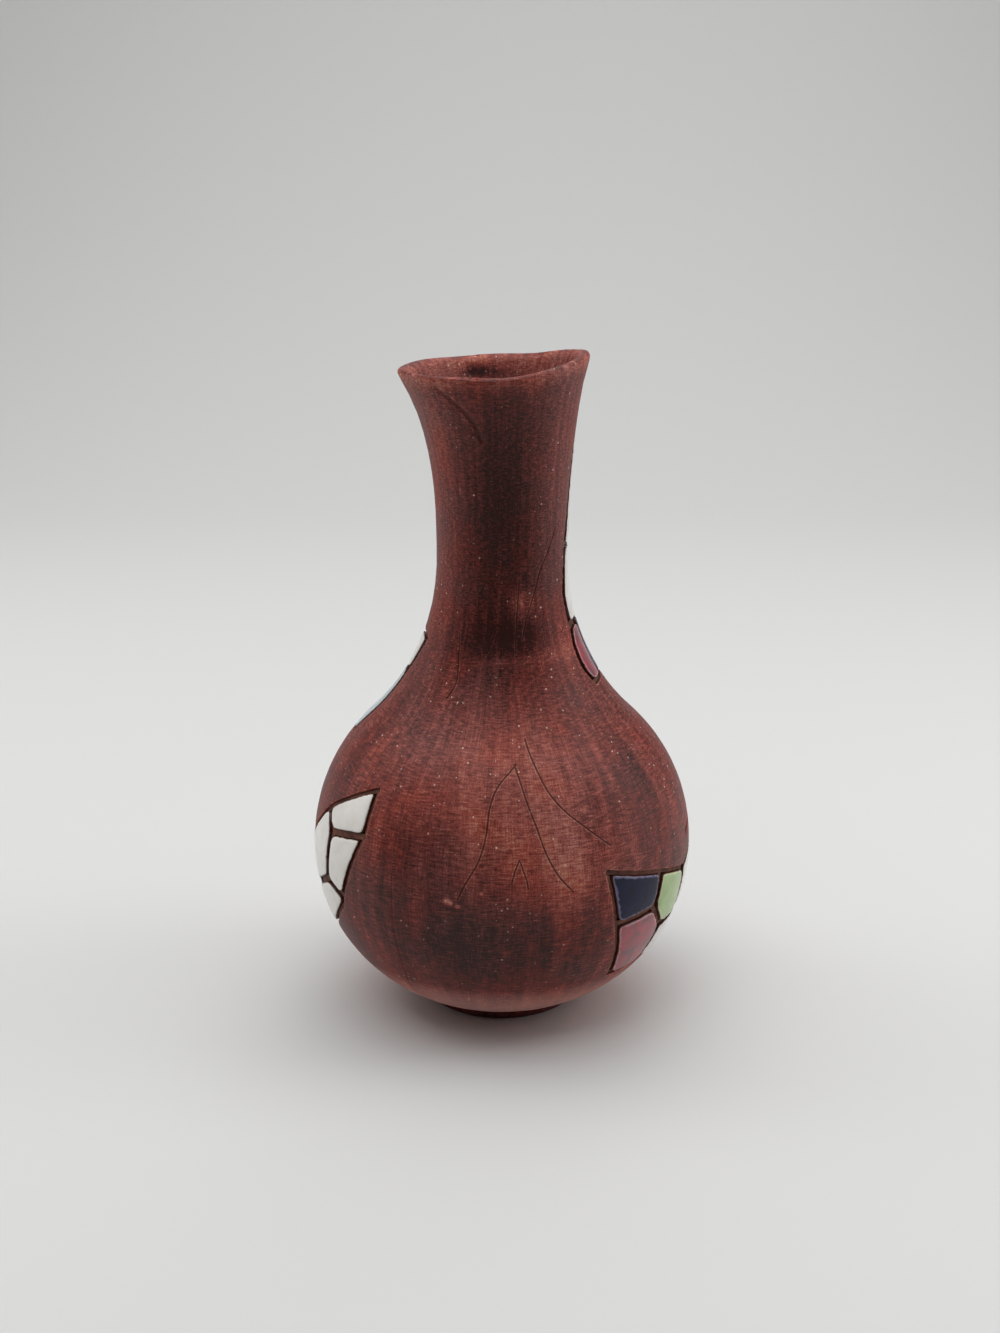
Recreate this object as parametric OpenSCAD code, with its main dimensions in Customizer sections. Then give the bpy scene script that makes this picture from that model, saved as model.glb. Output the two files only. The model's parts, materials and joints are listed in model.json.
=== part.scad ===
// Hand-thrown terracotta bottle ewer with a drawn-out lip and a mosaic of glazed tiles in carved recesses.
// Millimetres, +Z up, origin on the table at the centre of the foot. The plain front faces -Y.
// A bearing is an angle round the axis: 0 at the front, growing towards the right (+X).

/* [Belly] */
// Radius of the belly at its widest line
belly_r = 65; // [60:0.5:70]
// Height of the widest line above the table
belly_z = 57.5; // [54:0.5:62]
// Radius of the curve from the widest line up to the shoulder
upper_arc = 60.5; // [57:0.5:64]
// Thickness of the belly wall
wall = 6; // [5:0.1:8]
// Thickness of the floor above the foot ring
floor_t = 5.5; // [4:0.1:8]

/* [Neck and lip] */
// Radius of the neck at its narrowest
waist_r = 22; // [20:0.5:25]
// Height of the narrowest part of the neck
waist_z = 157; // [150:0.5:165]
// Radius of the curve by which the neck opens towards the rim
flare_arc = 370; // [300:5:600]
// Height of the rim on its low side
rim_z = 220; // [205:0.5:235]
// Wall of the neck at its narrowest
neck_wall = 4.5; // [4:0.1:5.5]
// Thickness of the rounded lip
lip_t = 4.2; // [3.2:0.1:5]
// How far the rim turns out all round
lip_turn = 2; // [0:0.1:3]
// How far the lip is drawn outwards on its low side
lip_pull = 6; // [2:0.5:9]
// How far the rim stands higher on the side away from the drawn lip
lip_rise = 5; // [2:0.5:9]
// Height of the zone below the rim that the drawing-out bends
pull_zone = 46; // [40:1:50]

/* [Foot ring] */
// Outer radius of the foot ring
foot_r = 26.5; // [22:0.5:27]
// Width of the foot ring
foot_w = 5.5; // [4:0.1:8]
// Height of the foot ring
foot_h = 3.5; // [2:0.1:5]
// Rounding of the foot ring's lower edges
foot_round = 1; // [0.4:0.1:1.6]

/* [Luted seam between belly and neck] */
// Height of the seam
seam_z = 128.5; // [125:0.5:131]
// Height of the low step inside the seam that centres the neck
step_h = 1.5; // [1:0.1:2]
// Width of that step
step_w = 2; // [1.5:0.1:2.4]

/* [Mosaic] */
// Thickness of a tile
tile_t = 2.4; // [1.8:0.1:2.8]
// How far a tile's face stands proud of the clay
tile_proud = 0.2; // [0:0.05:0.5]
// Thickness of the bedding under a tile
bed_t = 0.5; // [0.3:0.1:0.8]
// Depth of the open joints below the clay's surface
joint_depth = 1.1; // [0.6:0.1:1.6]
// Width of the joint between two tiles
joint_w = 2.4; // [2.2:0.1:3.2]
// How far the recess reaches past the outermost joint lines
recess_margin = 0.4; // [0.4:0.05:0.8]
// Height of a row of tiles
row_h = 20; // [18:0.5:22]
// Columns of tiles round the back of the belly
band_columns = 12; // [8:1:13]
// Columns of tiles round the back of the shoulder
collar_columns = 7; // [5:1:8]

/* [Fit] */
// Clearance round a piece that sits in another
fit = 0.1; // [0.05:0.05:0.2]

/* [Hidden] */
$fn = 96;
far = 400;

clay_red = "#7a4034";
bed_brown = "#4a241c";
glaze_white = "#dcd8cf";
glaze_navy = "#1c2040";
glaze_green = "#a9c48f";
glaze_pink = "#b06a70";
glaze_blue = "#b8c4c8";

// Outer profile: three tangent arcs up to the waist and a fourth above it. The lowest would touch the table.
lower_arc = belly_z;
lower_x = belly_r - lower_arc;
upper_x = belly_r - upper_arc;
waist_dx = waist_r - upper_x;
waist_dz = waist_z - belly_z;
shoulder_arc = (waist_dx ^ 2 + waist_dz ^ 2 - upper_arc ^ 2) / (2 * (upper_arc - waist_dx));
shoulder_x = waist_r + shoulder_arc;
flare_x = waist_r + flare_arc;
turn_angle = atan2(waist_dz, shoulder_x - upper_x);
turn_z = belly_z + upper_arc * sin(turn_angle);

// Radius of the clay's surface at height z
function skin_r(z) =
    z < belly_z ? lower_x + sqrt(lower_arc ^ 2 - (z - belly_z) ^ 2) :
    z < turn_z ? upper_x + sqrt(upper_arc ^ 2 - (z - belly_z) ^ 2) :
    z < waist_z ? shoulder_x - sqrt(shoulder_arc ^ 2 - (z - waist_z) ^ 2) :
    flare_x - sqrt(flare_arc ^ 2 - (z - waist_z) ^ 2);

// Upward tilt of the surface's normal at height z
function skin_tilt(z) =
    z < belly_z ? asin((z - belly_z) / lower_arc) :
    z < turn_z ? asin((z - belly_z) / upper_arc) :
    z < waist_z ? asin((waist_z - z) / shoulder_arc) :
    asin((waist_z - z) / flare_arc);

function skin_point(bearing, z) = [skin_r(z) * sin(bearing), -skin_r(z) * cos(bearing), z];

function mix(a, b, t) = a + (b - a) * t;
function mean(list) = [for (k = list) 1] * list / len(list);

// Half section of all that lies at least d below the surface
module inside_section(d) {
    intersection() {
        union() {
            translate([lower_x, belly_z]) circle(lower_arc - d);
            translate([0, belly_z - lower_arc + d]) square([lower_x, lower_arc - d]);
        }
        square([far, belly_z]);
    }
    intersection() {
        translate([upper_x, belly_z]) circle(upper_arc - d);
        translate([0, belly_z]) square(far);
    }
    difference() {
        polygon([[0, belly_z], [upper_x, belly_z] + (upper_arc - d) * [cos(turn_angle), sin(turn_angle)],
            [shoulder_x, waist_z], [0, waist_z]]);
        translate([shoulder_x, waist_z]) circle(shoulder_arc + d);
    }
    difference() {
        translate([0, waist_z]) square([flare_x, rim_z - waist_z]);
        translate([flare_x, waist_z]) circle(flare_arc + d);
    }
}

// Layer that follows the outside all round, from depth d0 to depth d1
module skin_layer(d0, d1) {
    rotate_extrude()
        difference() {
            inside_section(d0);
            inside_section(d1);
        }
}

// Mosaic cells meet along the middle of the joints. A corner is given as [bearing, rows above a height].
function raised(corners, z) = [for (c = corners) [c[0], z + row_h * c[1]]];
function picked(corners, lists) = [for (l = lists) [for (k = l) corners[k]]];

// Uneven shift of a corner, from -1 to 1, so that the joints look set by hand
sideways_turn = 150;
upward_turn = 100;
function uneven(i, j) = [sin(sideways_turn * i + upward_turn * j), sin(upward_turn * i + sideways_turn * j)];

// The four tiles at the right of the front
right_corners = raised([[31.5, 0.45], [54.5, 0.12], [71.5, -0.15], [35.5, -0.55], [52, -0.5], [59.5, -1],
    [72.5, -1.02], [41, -1.7], [57, -1.68], [74, -1.55]], belly_z);
right_cells = picked(right_corners, [[0, 1, 4, 3], [1, 2, 6, 5, 4], [3, 4, 5, 8, 7], [5, 6, 9, 8]]);
right_glazes = [glaze_navy, glaze_green, glaze_pink, glaze_white];

// The four tiles at the left of the front
left_corners = raised([[314.5, 1.58], [314.3, 0.82], [296.5, 0.62], [291.5, 0.98], [305, -0.38],
    [295.5, -0.22], [277, -0.7], [278, -0.35], [276.5, -0.1], [275.5, 0.22], [304, -0.55],
    [287.5, -1.3]], belly_z);
left_cells = picked(left_corners, [[0, 1, 2, 3], [2, 1, 4, 5], [9, 3, 2, 5, 6, 7, 8], [6, 5, 4, 10, 11]]);
left_glazes = [for (c = left_cells) glaze_white];

// Two rows of tiles round the back, on three swelling joint lines from the right tiles to the left ones
band_starts = [right_corners[2], right_corners[6], right_corners[9]];
band_ends = [left_corners[9], [266, belly_z - 0.52 * row_h], left_corners[11]];
band_swells = [0.55, 0.2, -0.15];
band_sway = [2.6, 0.11];
function at_end(i, columns) = i == 0 || i == columns;
function band_corner(i, j) =
    let (t = i / band_columns, sway = at_end(i, band_columns) ? [0, 0] : uneven(i, j))
    mix(band_starts[j], band_ends[j], t)
    + [band_sway[0] * sway[0], row_h * (band_sway[1] * sway[1] + band_swells[j] * sin(180 * t))];
function band_cell(i, j) = concat(
    [band_corner(i, j), band_corner(i + 1, j)],
    i < band_columns - 1 ? [] : [for (k = j == 0 ? [8] : [8, 7, 6]) left_corners[k]],
    [band_corner(i + 1, j + 1), band_corner(i, j + 1)]);
band_cells = [for (j = [0, 1], i = [0:band_columns - 1]) band_cell(i, j)];
band_palette = [glaze_white, glaze_blue, glaze_white, glaze_navy,
    glaze_white, glaze_pink, glaze_white, glaze_green];
band_glazes = [for (j = [0, 1], i = [0:band_columns - 1]) band_palette[(3 * i + 2 * j) % len(band_palette)]];

// The collar on the shoulder: one tile at the right, then two rows that deepen towards the left
collar_first = raised([[66, 0.35], [62.5, 0.08], [62.8, -0.3], [69, -0.6], [86, -0.6], [84, 0.4]], seam_z);
collar_starts = [collar_first[5], collar_first[4], [88, seam_z - 1.12 * row_h]];
collar_ends = raised([[288, 0.15], [276, -0.52], [269, -1.68]], seam_z);
collar_sway = [2.5, 0.04];
collar_low_start = 2;
function collar_corner(i, j) =
    let (sway = at_end(i, collar_columns) ? [0, 0] : uneven(i, j))
    mix(collar_starts[j], collar_ends[j], i / collar_columns)
    + [collar_sway[0] * sway[0], row_h * collar_sway[1] * sway[1]];
collar_rows = [for (j = [0, 1], i = [j * collar_low_start:collar_columns - 1])
    [collar_corner(i, j), collar_corner(i + 1, j), collar_corner(i + 1, j + 1), collar_corner(i, j + 1)]];
collar_cells = concat([collar_first], collar_rows);
collar_palette = [glaze_white, glaze_navy, glaze_white, glaze_green, glaze_white, glaze_pink];
collar_glazes = [for (k = [0:len(collar_cells) - 1])
    k == 0 ? glaze_pink :
    k == collar_columns ? glaze_white :
    k == len(collar_cells) - 1 ? glaze_blue :
    collar_palette[k % len(collar_palette)]];

// Four long tiles that climb the neck from the collar's upper joint line
neck_corners = raised([[100, 3.5], [83, 3.3], [75, 2], [70.5, 1.65], [68.5, 1.22], [64, 0.88],
    [110, 1.75], [114, 2.62], [146, 2.22], [152, 1.58]], seam_z);
neck_feet = [collar_first[0], collar_first[5], collar_corner(1, 0), collar_corner(2, 0)];
neck_cells = picked(concat(neck_corners, neck_feet),
    [[0, 1, 2, 3, 6, 7], [3, 4, 5, 10, 11, 12, 6], [7, 6, 9, 8], [6, 12, 13, 9]]);
neck_glazes = [glaze_white, glaze_white, glaze_blue, glaze_white];

belly_cells = concat(right_cells, left_cells, band_cells);
belly_glazes = concat(right_glazes, left_glazes, band_glazes);
upper_cells = concat(collar_cells, neck_cells);
upper_glazes = concat(collar_glazes, neck_glazes);

function numbered(name, k) = str(name, k < 9 ? "_0" : "_", k + 1);
function names(name, cells) = [for (k = [0:len(cells) - 1]) numbered(name, k)];
belly_names = names("belly_tile", belly_cells);
upper_names = concat(names("collar_tile", collar_cells), names("neck_tile", neck_cells));

// Cell drawn flat on the plane that touches the surface at the cell's middle
function flat_cell(cell) =
    let (m = mean(cell), o = skin_point(m[0], m[1]), t = skin_tilt(m[1]),
        across = [cos(m[0]), sin(m[0]), 0],
        up = [-sin(t) * sin(m[0]), sin(t) * cos(m[0]), cos(t)])
    [for (c = cell) let (d = skin_point(c[0], c[1]) - o) [d * across, d * up]];

// Positive for an outline that runs anticlockwise
function turning(p) =
    let (n = len(p), pieces = [for (i = [0:n - 1]) cross(p[i], p[(i + 1) % n])])
    sign([for (k = pieces) 1] * pieces);

// Outline with every side moved inwards by d
function inset(p, d) =
    let (n = len(p), s = turning(p),
        side = [for (i = [0:n - 1]) let (e = p[(i + 1) % n] - p[i]) s * [-e[1], e[0]] / norm(e)])
    [for (i = [0:n - 1]) let (a = side[(i + n - 1) % n], b = side[i]) p[i] + d * (a + b) / (1 + a * b)];

// Straight-sided block through the surface, square to it at the middle of the cell
block_in = 12;
block_out = 6;
module cell_block(cell, d) {
    m = mean(cell);
    translate(skin_point(m[0], m[1]))
        rotate([90 - skin_tilt(m[1]), 0, m[0]])
            translate([0, 0, -block_in])
                linear_extrude(block_in + block_out) polygon(inset(flat_cell(cell), d));
}

recess_depth = tile_t - tile_proud + bed_t;
cutter_over = 2;

// Recess carved for a group of cells, up to depth d0
module recess(cells, d0) {
    intersection() {
        skin_layer(d0, recess_depth);
        union() for (c = cells) cell_block(c, -recess_margin);
    }
}

module tile(cell, glaze) {
    color(glaze)
        intersection() {
            cell_block(cell, joint_w / 2);
            skin_layer(-tile_proud, tile_t - tile_proud);
        }
}

// Bedding that fills a recess up to the open joints, with a seat for each tile
module bedding(cells) {
    color(bed_brown)
        difference() {
            recess(cells, joint_depth);
            intersection() {
                skin_layer(-cutter_over, tile_t - tile_proud);
                union() for (c = cells) cell_block(c, joint_w / 2 - fit);
            }
        }
}

module belly_bed() {
    bedding(belly_cells);
}

module collar_bed() {
    bedding(upper_cells);
}

inner_seam_r = shoulder_x - sqrt((shoulder_arc + wall) ^ 2 - (seam_z - waist_z) ^ 2);
step_r = inner_seam_r + step_w;

// Cells whose recess reaches past the seam, upwards or downwards
seam_cells = [for (c = upper_cells) if (max([for (k = c) k[1]]) > seam_z - joint_w) c];
shoulder_cells = [for (c = upper_cells) if (min([for (k = c) k[1]]) < seam_z + joint_w) c];

module belly_section() {
    difference() {
        intersection() {
            inside_section(0);
            union() {
                translate([0, foot_h]) square([far, seam_z - foot_h]);
                translate([0, seam_z]) square([step_r, step_h]);
            }
        }
        intersection() {
            inside_section(wall);
            translate([0, foot_h + floor_t]) square(far);
        }
    }
}

module belly() {
    color(clay_red)
        difference() {
            rotate_extrude() belly_section();
            recess(belly_cells, -cutter_over);
            recess(shoulder_cells, -cutter_over);
        }
}

// The neck's closed section is turned round the axis, and its upper end is drawn out and raised.
neck_sides = 48;
outer_steps = 14;
lip_steps = 6;
inner_steps = 10;
lip_start = rim_z - lip_t / 2;
step_top = seam_z + step_h + fit;

function neck_thick(z) =
    z < waist_z ? mix(neck_wall, wall, ((waist_z - z) / (waist_z - seam_z)) ^ 2) :
    mix(neck_wall, lip_t, (z - waist_z) / (lip_start - waist_z));
function inner_point(z) = [skin_r(z), z] - neck_thick(z) * [cos(skin_tilt(z)), sin(skin_tilt(z))];
inner_start = step_top + wall * sin(skin_tilt(step_top));
lip_tilt = skin_tilt(lip_start);
lip_middle = mix([skin_r(lip_start), lip_start], inner_point(lip_start), 0.5);
neck_section = concat(
    [for (k = [0:outer_steps]) let (z = mix(seam_z, lip_start, k / outer_steps)) [skin_r(z), z]],
    [for (k = [1:lip_steps - 1]) let (a = lip_tilt + 180 * k / lip_steps)
        lip_middle + lip_t / 2 * [cos(a), sin(a)]],
    [for (k = [0:inner_steps]) inner_point(mix(lip_start, inner_start, k / inner_steps))],
    [[inner_point(inner_start)[0], step_top], [step_r + fit, step_top], [step_r + fit, seam_z]]);

// Bearing towards which the lip is drawn out
pull_bearing = -90;

// Point of the section carried round to a bearing, with the lip's share of turn, pull and rise
function drawn(p, bearing) =
    let (e = max(0, (p[1] - rim_z + pull_zone) / pull_zone) ^ 2,
        towards = 0.5 + 0.5 * cos(bearing - pull_bearing),
        r = p[0] + (lip_turn * e ^ 2 + lip_pull * towards ^ 2) * e,
        z = p[1] + lip_rise * (1 - towards) ^ 3 * e)
    [r * sin(bearing), -r * cos(bearing), z];

module neck_shell() {
    n = len(neck_section);
    points = [for (s = [0:neck_sides - 1], p = neck_section) drawn(p, 360 * s / neck_sides)];
    faces = [for (s = [0:neck_sides - 1], k = [0:n - 1])
        let (a = s * n, b = (s + 1) % neck_sides * n, j = (k + 1) % n)
        each [[a + k, a + j, b + k], [a + j, b + j, b + k]]];
    polyhedron(points, faces);
}

module neck() {
    color(clay_red)
        difference() {
            neck_shell();
            recess(seam_cells, -cutter_over);
        }
}

module foot_ring() {
    color(clay_red)
        rotate_extrude()
            translate([foot_r - foot_w, 0]) {
                translate([foot_round, foot_round]) circle(foot_round);
                translate([foot_w - foot_round, foot_round]) circle(foot_round);
                translate([foot_round, 0]) square([foot_w - 2 * foot_round, foot_h]);
                translate([0, foot_round]) square([foot_w, foot_h - foot_round]);
            }
}

foot_ring();
belly();
neck();
belly_bed();
collar_bed();
for (k = [0:len(belly_cells) - 1])
    tile(belly_cells[k], belly_glazes[k]);
for (k = [0:len(upper_cells) - 1])
    tile(upper_cells[k], upper_glazes[k]);
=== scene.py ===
"""Looks of a hand-thrown terracotta bottle ewer with a mosaic of glazed tiles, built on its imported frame.

Lengths in the classes are millimetres. A bearing is an angle in degrees round the upright axis: 0 at the plain
front (-Y), growing towards the right (+X).
"""

import json
import logging
import math
from dataclasses import dataclass, field
from enum import Enum
from typing import Any, Sequence

import bmesh
import bpy
import numpy as np
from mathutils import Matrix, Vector, kdtree, noise
from mathutils.bvhtree import BVHTree


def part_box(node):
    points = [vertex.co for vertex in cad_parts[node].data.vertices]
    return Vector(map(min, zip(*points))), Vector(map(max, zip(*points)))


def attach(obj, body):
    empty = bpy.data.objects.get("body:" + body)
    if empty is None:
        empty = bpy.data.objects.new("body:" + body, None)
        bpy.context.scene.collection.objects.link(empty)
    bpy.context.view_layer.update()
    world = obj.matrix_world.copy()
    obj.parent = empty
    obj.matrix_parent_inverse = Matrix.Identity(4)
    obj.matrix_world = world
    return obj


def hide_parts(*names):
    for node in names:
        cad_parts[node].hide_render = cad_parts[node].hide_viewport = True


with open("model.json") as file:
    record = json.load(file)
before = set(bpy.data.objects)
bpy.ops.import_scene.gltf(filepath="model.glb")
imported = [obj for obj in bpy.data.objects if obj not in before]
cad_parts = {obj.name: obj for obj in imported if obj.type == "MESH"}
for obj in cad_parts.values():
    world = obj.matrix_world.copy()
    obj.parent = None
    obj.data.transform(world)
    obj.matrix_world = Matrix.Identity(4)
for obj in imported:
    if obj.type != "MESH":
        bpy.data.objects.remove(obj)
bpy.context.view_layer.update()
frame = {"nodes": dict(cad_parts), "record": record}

LOG = logging.getLogger("ewer")
MM = 0.001
ROOT = "root"
MERGE = 0.001  # millimetres within which points count as one
NO_REACH = 0.001  # smallest radius of a speck, so that its fade has a width
ROUGH_NOISE = 0.6  # share that each finer octave of a noise keeps


class Slot(Enum):
    """Material slots of the record that the pieces take their finish from."""

    TERRACOTTA = "terracotta"
    BEDDING = "bedding"
    WHITE = "white_glaze"
    NAVY = "navy_glaze"
    GREEN = "green_glaze"
    PINK = "pink_glaze"
    PALE_BLUE = "pale_blue_glaze"


def linear(hex_colour: str) -> tuple[float, float, float, float]:
    """Turns an sRGB hex colour into linear RGBA.

    Args:
        hex_colour: Colour such as "#7a4034".

    Returns:
        Linear red, green, blue and an alpha of 1.
    """
    shares = [int(hex_colour[k:k + 2], 16) / 255 for k in (1, 3, 5)]
    red, green, blue = (s / 12.92 if s <= 0.04045 else ((s + 0.055) / 1.055) ** 2.4 for s in shares)
    return red, green, blue, 1.0


def add_node(tree: bpy.types.NodeTree, kind: str, inputs: dict[Any, Any] | None = None,
             stops: Sequence[tuple[float, str]] = (), **settings: Any) -> bpy.types.Node:
    """Adds one shader node with its settings and links.

    Args:
        tree: Node tree that gets the node.
        kind: Blender's name of the node type.
        inputs: Value or source socket for each input, by the input's name or number.
        stops: Positions and hex colours of a colour ramp.
        **settings: Properties of the node.

    Returns:
        The new node.
    """
    node = tree.nodes.new(kind)
    for key, value in settings.items():
        setattr(node, key, value)
    for key, source in (inputs or {}).items():
        if isinstance(source, bpy.types.NodeSocket):
            tree.links.new(source, node.inputs[key])
        else:
            node.inputs[key].default_value = source
    for number, (position, colour) in enumerate(stops):
        ramp = node.color_ramp.elements
        stop = ramp[number] if number < 2 else ramp.new(position)
        stop.position = position
        stop.color = linear(colour)
    return node


def new_material(name: str) -> tuple[bpy.types.Material, bpy.types.NodeTree, bpy.types.Node]:
    """Starts a material.

    Args:
        name: Name of the real finish.

    Returns:
        The material, its node tree and its Principled shader.
    """
    material = bpy.data.materials.new(name)
    material.use_nodes = True
    tree = material.node_tree
    return material, tree, tree.nodes["Principled BSDF"]


def cad_copy(*nodes: str) -> bmesh.types.BMesh:
    """Copies the meshes of CAD nodes into one bmesh with its doubles merged.

    Args:
        *nodes: Names of the nodes.

    Returns:
        The merged copy.
    """
    shape = bmesh.new()
    for node in nodes:
        shape.from_mesh(frame["nodes"][node].data)
    bmesh.ops.remove_doubles(shape, verts=shape.verts, dist=MERGE * MM)
    return shape


def as_mesh(shape: bmesh.types.BMesh, name: str) -> bpy.types.Mesh:
    """Writes a bmesh into a new smooth-shaded mesh and frees it.

    Args:
        shape: Shape to write.
        name: Name of the mesh.

    Returns:
        The mesh.
    """
    for face in shape.faces:
        face.smooth = True
        face.material_index = 0
    mesh = bpy.data.meshes.new(name)
    shape.to_mesh(mesh)
    shape.free()
    return mesh


def as_shape(mesh: bpy.types.Mesh) -> bmesh.types.BMesh:
    """Moves a mesh into a bmesh.

    Args:
        mesh: Mesh to move, removed afterwards.

    Returns:
        The bmesh.
    """
    shape = bmesh.new()
    shape.from_mesh(mesh)
    bpy.data.meshes.remove(mesh)
    return shape


def modified(mesh: bpy.types.Mesh, kind: str, group: Sequence[int] = (), **settings: Any) -> bpy.types.Mesh:
    """Applies one modifier to a mesh.

    Args:
        mesh: Mesh that the modifier works on, removed afterwards.
        kind: Blender's name of the modifier type.
        group: Vertices of the modifier's vertex group, if it has one.
        **settings: Properties of the modifier.

    Returns:
        The resulting mesh.
    """
    carrier = bpy.data.objects.new("carrier", mesh)
    bpy.context.scene.collection.objects.link(carrier)
    modifier = carrier.modifiers.new(kind, kind)
    if len(group):
        carrier.vertex_groups.new(name=kind).add(group, 1.0, "REPLACE")
        modifier.vertex_group = kind
    for key, value in settings.items():
        setattr(modifier, key, value)
    result = bpy.data.meshes.new_from_object(carrier.evaluated_get(bpy.context.evaluated_depsgraph_get()))
    bpy.data.objects.remove(carrier)
    bpy.data.meshes.remove(mesh)
    return result


def relax(shape: bmesh.types.BMesh, passes: int) -> None:
    """Softens a shape by drawing each vertex halfway to its neighbours.

    Args:
        shape: Shape to soften.
        passes: How often that is done.
    """
    for _ in range(passes):
        bmesh.ops.smooth_vert(shape, verts=shape.verts, factor=0.5, use_axis_x=True, use_axis_y=True,
                              use_axis_z=True)


def cut_to_triangles(shape: bmesh.types.BMesh) -> None:
    """Splits every face that has more than three corners."""
    bmesh.ops.triangulate(shape, faces=[face for face in shape.faces if len(face.verts) > 3])


def search_tree(places: Sequence[Vector] | np.ndarray) -> kdtree.KDTree:
    """Makes a tree that finds the place nearest to a point.

    Args:
        places: The places, in the unit that the points will have.

    Returns:
        The balanced tree.
    """
    tree = kdtree.KDTree(len(places))
    for number, place in enumerate(places):
        tree.insert(place, number)
    tree.balance()
    return tree


def parts_of(shape: bmesh.types.BMesh) -> list[list[bmesh.types.BMVert]]:
    """Sorts the vertices of a shape into its connected parts.

    Args:
        shape: Shape to sort.

    Returns:
        The vertices of each part, the largest part last.
    """
    parts: list[list[bmesh.types.BMVert]] = []
    seen: set[bmesh.types.BMVert] = set()
    for first in shape.verts:
        if first in seen:
            continue
        part = [first]
        seen.add(first)
        for vertex in part:
            fresh = [edge.other_vert(vertex) for edge in vertex.link_edges if edge.other_vert(vertex) not in seen]
            part.extend(fresh)
            seen.update(fresh)
        parts.append(part)
    return sorted(parts, key=len)


def close_up(shape: bmesh.types.BMesh, rounds: int = 4, sliver: float = 0.02) -> None:
    """Mends a shape, so that it is one closed skin of triangles without slivers.

    Args:
        shape: Shape to mend.
        rounds: Most rounds of collapsing the edges that carry more than two faces.
        sliver: Width below which a face is dissolved, in millimetres.
    """
    for _ in range(rounds):
        bmesh.ops.dissolve_degenerate(shape, dist=sliver * MM, edges=shape.edges)
        cut_to_triangles(shape)
        crowded = [edge for edge in shape.edges if len(edge.link_faces) > 2]
        if not crowded:
            break
        bmesh.ops.collapse(shape, edges=crowded)
    bmesh.ops.delete(shape, geom=[edge for edge in shape.edges if edge.is_wire], context="EDGES")
    strays = [vertex for part in parts_of(shape)[:-1] for vertex in part]
    bmesh.ops.delete(shape, geom=strays, context="VERTS")
    bmesh.ops.holes_fill(shape, edges=[edge for edge in shape.edges if edge.is_boundary], sides=0)
    cut_to_triangles(shape)


def points_of(mesh: bpy.types.Mesh) -> np.ndarray:
    """Reads the vertex places of a mesh.

    Args:
        mesh: Mesh to read.

    Returns:
        Places in millimetres, one row each.
    """
    flat = np.empty(3 * len(mesh.vertices), dtype=np.float32)
    mesh.vertices.foreach_get("co", flat)
    return flat.reshape(-1, 3).astype(float) / MM


def normals_of(mesh: bpy.types.Mesh) -> np.ndarray:
    """Reads the vertex normals of a mesh.

    Args:
        mesh: Mesh to read.

    Returns:
        Normals, one row each.
    """
    flat = np.empty(3 * len(mesh.vertices), dtype=np.float32)
    mesh.vertex_normals.foreach_get("vector", flat)
    return flat.reshape(-1, 3).astype(float)


def move_points(mesh: bpy.types.Mesh, points: np.ndarray) -> None:
    """Sets the vertex places of a mesh from millimetres."""
    mesh.vertices.foreach_set("co", (points * MM).astype(np.float32).ravel())
    mesh.update()


def write_attribute(mesh: bpy.types.Mesh, name: str, values: np.ndarray) -> None:
    """Stores one number for each vertex, for the materials to read."""
    mesh.attributes.new(name, "FLOAT", "POINT").data.foreach_set("value", values.astype(np.float32))


def bearings(points: np.ndarray) -> np.ndarray:
    """Bearing of each point, here in radians."""
    return np.arctan2(points[:, 0], -points[:, 1])


def ripple(points: np.ndarray, size: float) -> np.ndarray:
    """Smooth uneven field from about -1 to 1.

    Args:
        points: Places in millimetres.
        size: Distance over which the field changes.

    Returns:
        One value for each place.
    """
    return np.array([noise.noise(Vector(place)) for place in points / size])


def settle(name: str, mesh: bpy.types.Mesh, material: bpy.types.Material,
           node: str) -> bpy.types.Object:
    """Makes a finished mesh a piece of the object that stands for one CAD node.

    Args:
        name: Name of the piece.
        mesh: Its mesh, already in place.
        material: Its finish.
        node: CAD node that it replaces.

    Returns:
        The piece.
    """
    mesh.name = name
    mesh.materials.clear()
    mesh.materials.append(material)
    piece = bpy.data.objects.new(name, mesh)
    bpy.context.scene.collection.objects.link(piece)
    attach(piece, ROOT)
    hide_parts(node)
    return piece


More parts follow.
